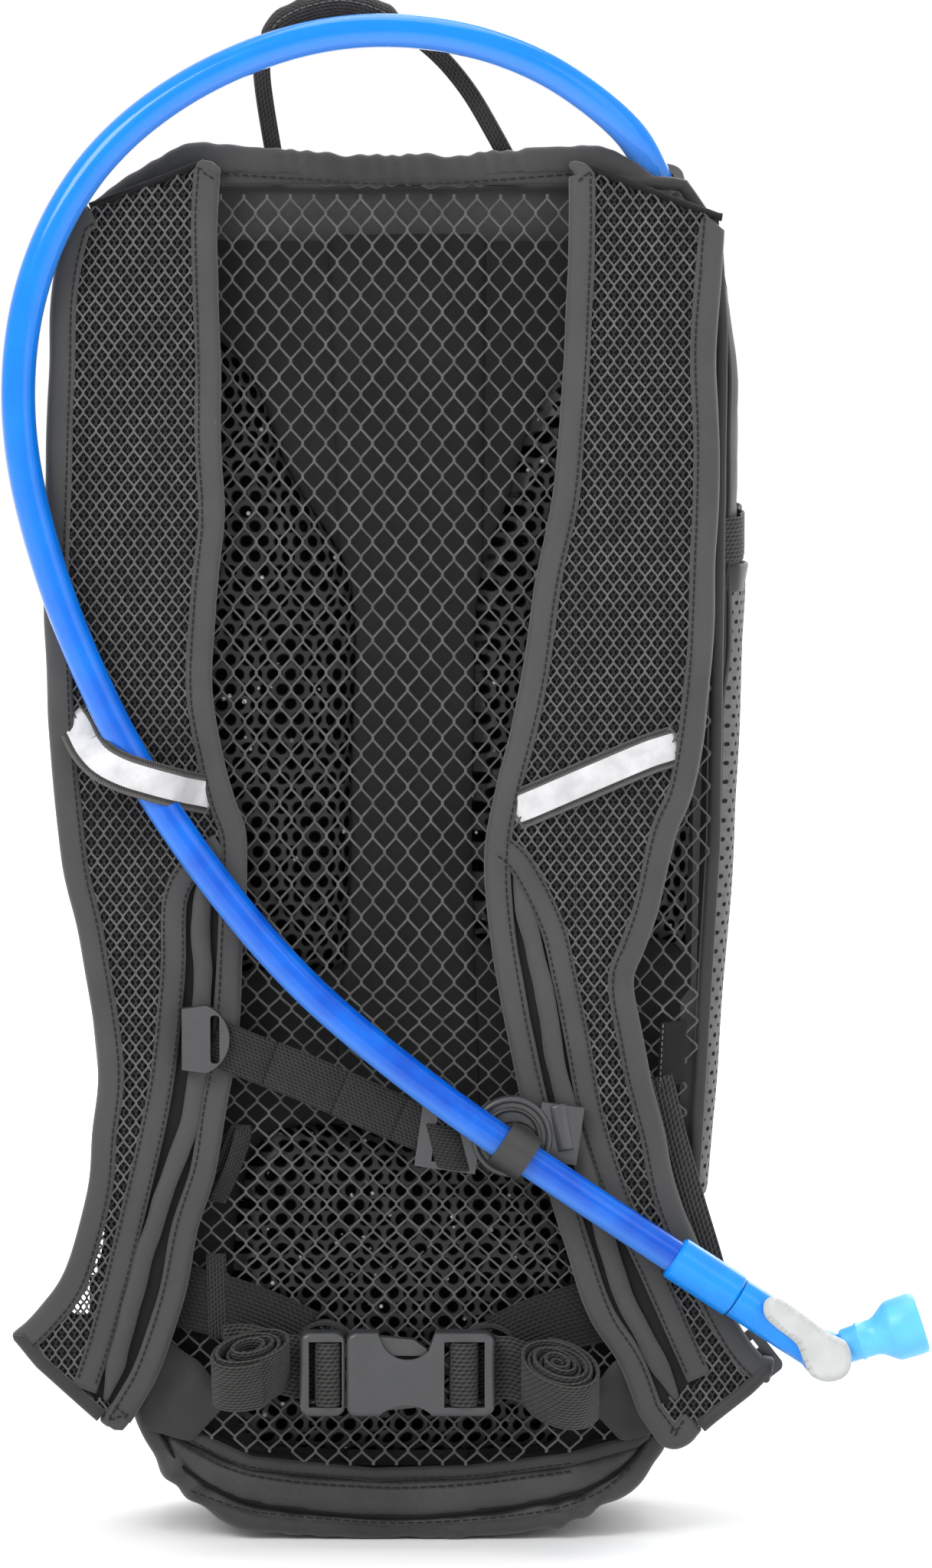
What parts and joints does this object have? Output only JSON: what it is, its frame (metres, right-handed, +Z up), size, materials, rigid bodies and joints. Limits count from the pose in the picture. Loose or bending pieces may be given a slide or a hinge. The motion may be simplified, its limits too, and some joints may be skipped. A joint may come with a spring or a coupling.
{
  "type": "hydration pack",
  "caption": "Small backpack with a netted back panel, contoured shoulder straps, sternum and waist straps, and a water reservoir with an over-shoulder drink tube and bite valve.",
  "frame": {"origin": "centre of the flat base, on the surface the pack stands on", "axes": "+Z up, -Y towards the wearer (harness side), +X to the right as one looks at the harness"},
  "size_m": [0.307, 0.1532, 0.5094],
  "materials": {
    "shell_fabric": "plain woven nylon, matt",
    "binding_fabric": "smooth matt binding",
    "strap_mesh": "open diamond mesh",
    "back_net": "open hexagonal net",
    "foam": "perforated foam",
    "stretch_fabric": "perforated stretch knit",
    "webbing": "ribbed nylon webbing",
    "reflective": "retroreflective print",
    "dark_plastic": "moulded acetal",
    "zip_tape": "knitted tape and nylon coil",
    "tube_blue": "translucent glossy tube",
    "cyan_rubber": "soft silicone",
    "cyan_plastic": "moulded",
    "pale_plastic": "moulded",
    "port_rubber": "moulded port",
    "bladder_film": "filled film bladder",
    "blue_plastic": "moulded"
  },
  "bodies": {
    "pack": {"anchor_wings": "shell_fabric", "back_net": "back_net", "back_pad_left": "foam", "back_pad_right": "foam", "base_back_trim": "shell_fabric", "base_panel": "shell_fabric", "base_piping": "shell_fabric", "belt_tail_right": "webbing", "belt_webbing": "webbing", "buckle_socket": "dark_plastic", "drink_tube": "tube_blue", "fill_collar": "blue_plastic", "frame_sheet": "dark_plastic", "front_pocket": "shell_fabric", "handle_anchor_tape": "webbing", "hanger_strap": "webbing", "hose_keeper_left": "reflective", "hose_port": "port_rubber", "inner_tube": "tube_blue", "ladder_locks": "dark_plastic", "lumbar_pad": "foam", "main_shell": "shell_fabric", "main_zip": "zip_tape", "panel_loop": "webbing", "pocket_zip": "zip_tape", "reservoir_bladder": "bladder_film", "sewn_label": "webbing", "side_pocket_hems": "stretch_fabric", "side_pockets": "stretch_fabric", "side_straps": "webbing", "sternum_clip": "dark_plastic", "sternum_rails": "webbing", "sternum_webbing": "webbing", "strap_binding_left": "binding_fabric", "strap_binding_right": "binding_fabric", "strap_core_left": "strap_mesh", "strap_core_right": "strap_mesh", "strap_strip_right": "reflective", "strap_webbing": "webbing", "top_hem": "shell_fabric", "tube_band": "dark_plastic", "tube_collar": "cyan_plastic", "tube_link": "blue_plastic"},
    "handle": {"grab_handle_webbing": "webbing", "handle_grip": "binding_fabric"},
    "sternum_slider": {"sternum_slider": "dark_plastic", "sternum_webbing_end": "webbing"},
    "buckle_plug": {"buckle_plug": "dark_plastic", "belt_tail_left": "webbing"},
    "buckle_arm_upper": {"buckle_arm_upper": "dark_plastic"},
    "buckle_arm_lower": {"buckle_arm_lower": "dark_plastic"},
    "valve_elbow": {"valve_elbow": "cyan_plastic", "bite_valve": "cyan_rubber"},
    "valve_lever": {"valve_lever": "pale_plastic"},
    "main_zip_slider": {"main_zip_slider": "dark_plastic"},
    "main_zip_pull": {"main_zip_pull": "dark_plastic"},
    "pocket_zip_slider": {"pocket_zip_slider": "dark_plastic"},
    "pocket_zip_pull": {"pocket_zip_pull": "dark_plastic"},
    "reservoir_cap": {"reservoir_cap": "blue_plastic"},
    "release_button": {"release_button": "pale_plastic"}
  },
  "joints": [
    {"name": "handle_flop", "type": "hinge", "parent": "pack", "child": "handle", "pos_m": [0, -0.0416, 0.451], "axis": [1, 0, 0], "range_deg": [-78, 5]},
    {"name": "sternum_slide", "type": "slide", "parent": "pack", "child": "sternum_slider", "axis": [0.0492, 0, 0.9988], "range_m": [-0.01, 0.015]},
    {"name": "buckle_release", "type": "slide", "parent": "pack", "child": "buckle_plug", "axis": [-1, 0, 0], "range_m": [0, 0.027], "deforming": ["buckle_arm_upper", "buckle_arm_lower"]},
    {"name": "buckle_squeeze_upper", "type": "hinge", "parent": "buckle_plug", "child": "buckle_arm_upper", "pos_m": [-0.0198, -0.066, 0.0659], "axis": [0, 1, 0], "range_deg": [0, 10], "stiffness_Nm_per_rad": 0.05},
    {"name": "buckle_squeeze_lower", "type": "hinge", "parent": "buckle_plug", "child": "buckle_arm_lower", "pos_m": [-0.0198, -0.066, 0.0511], "axis": [0, -1, 0], "range_deg": [0, 10], "stiffness_Nm_per_rad": 0.05},
    {"name": "valve_swivel", "type": "hinge", "parent": "pack", "child": "valve_elbow", "pos_m": [0.095, -0.07, 0.0924], "axis": [0.8374, 0, -0.5465], "range_deg": [-100, 100]},
    {"name": "valve_lever_turn", "type": "hinge", "parent": "valve_elbow", "child": "valve_lever", "pos_m": [0.13603, -0.07, 0.06562], "axis": [0, 1, 0], "range_deg": [0, 90]},
    {"name": "main_zip_slide", "type": "slide", "parent": "pack", "child": "main_zip_slider", "axis": [0, 0, 1], "range_m": [0, 0.14]},
    {"name": "main_zip_pull_swing", "type": "hinge", "parent": "main_zip_slider", "child": "main_zip_pull", "pos_m": [0.072, 0.04735, 0.192], "axis": [1, 0, 0], "range_deg": [0, 150]},
    {"name": "pocket_zip_slide", "type": "slide", "parent": "pack", "child": "pocket_zip_slider", "axis": [1, 0, 0], "range_m": [0, 0.06]},
    {"name": "pocket_zip_pull_swing", "type": "hinge", "parent": "pocket_zip_slider", "child": "pocket_zip_pull", "pos_m": [-0.03, 0.06335, 0.29], "axis": [1, 0, 0], "range_deg": [0, 150]},
    {"name": "cap_turn", "type": "hinge", "parent": "pack", "child": "reservoir_cap", "pos_m": [0, 0.004, 0.318], "axis": [0, 1, 0], "range_deg": [-270, 0]},
    {"name": "link_button_press", "type": "slide", "parent": "pack", "child": "release_button", "axis": [0, -1, 0], "range_m": [0, 0.0014], "stiffness_N_per_m": 800}
  ],
  "couplings": [
    {"joint": "buckle_squeeze_lower", "follows": "buckle_squeeze_upper", "ratio": 1}
  ]
}
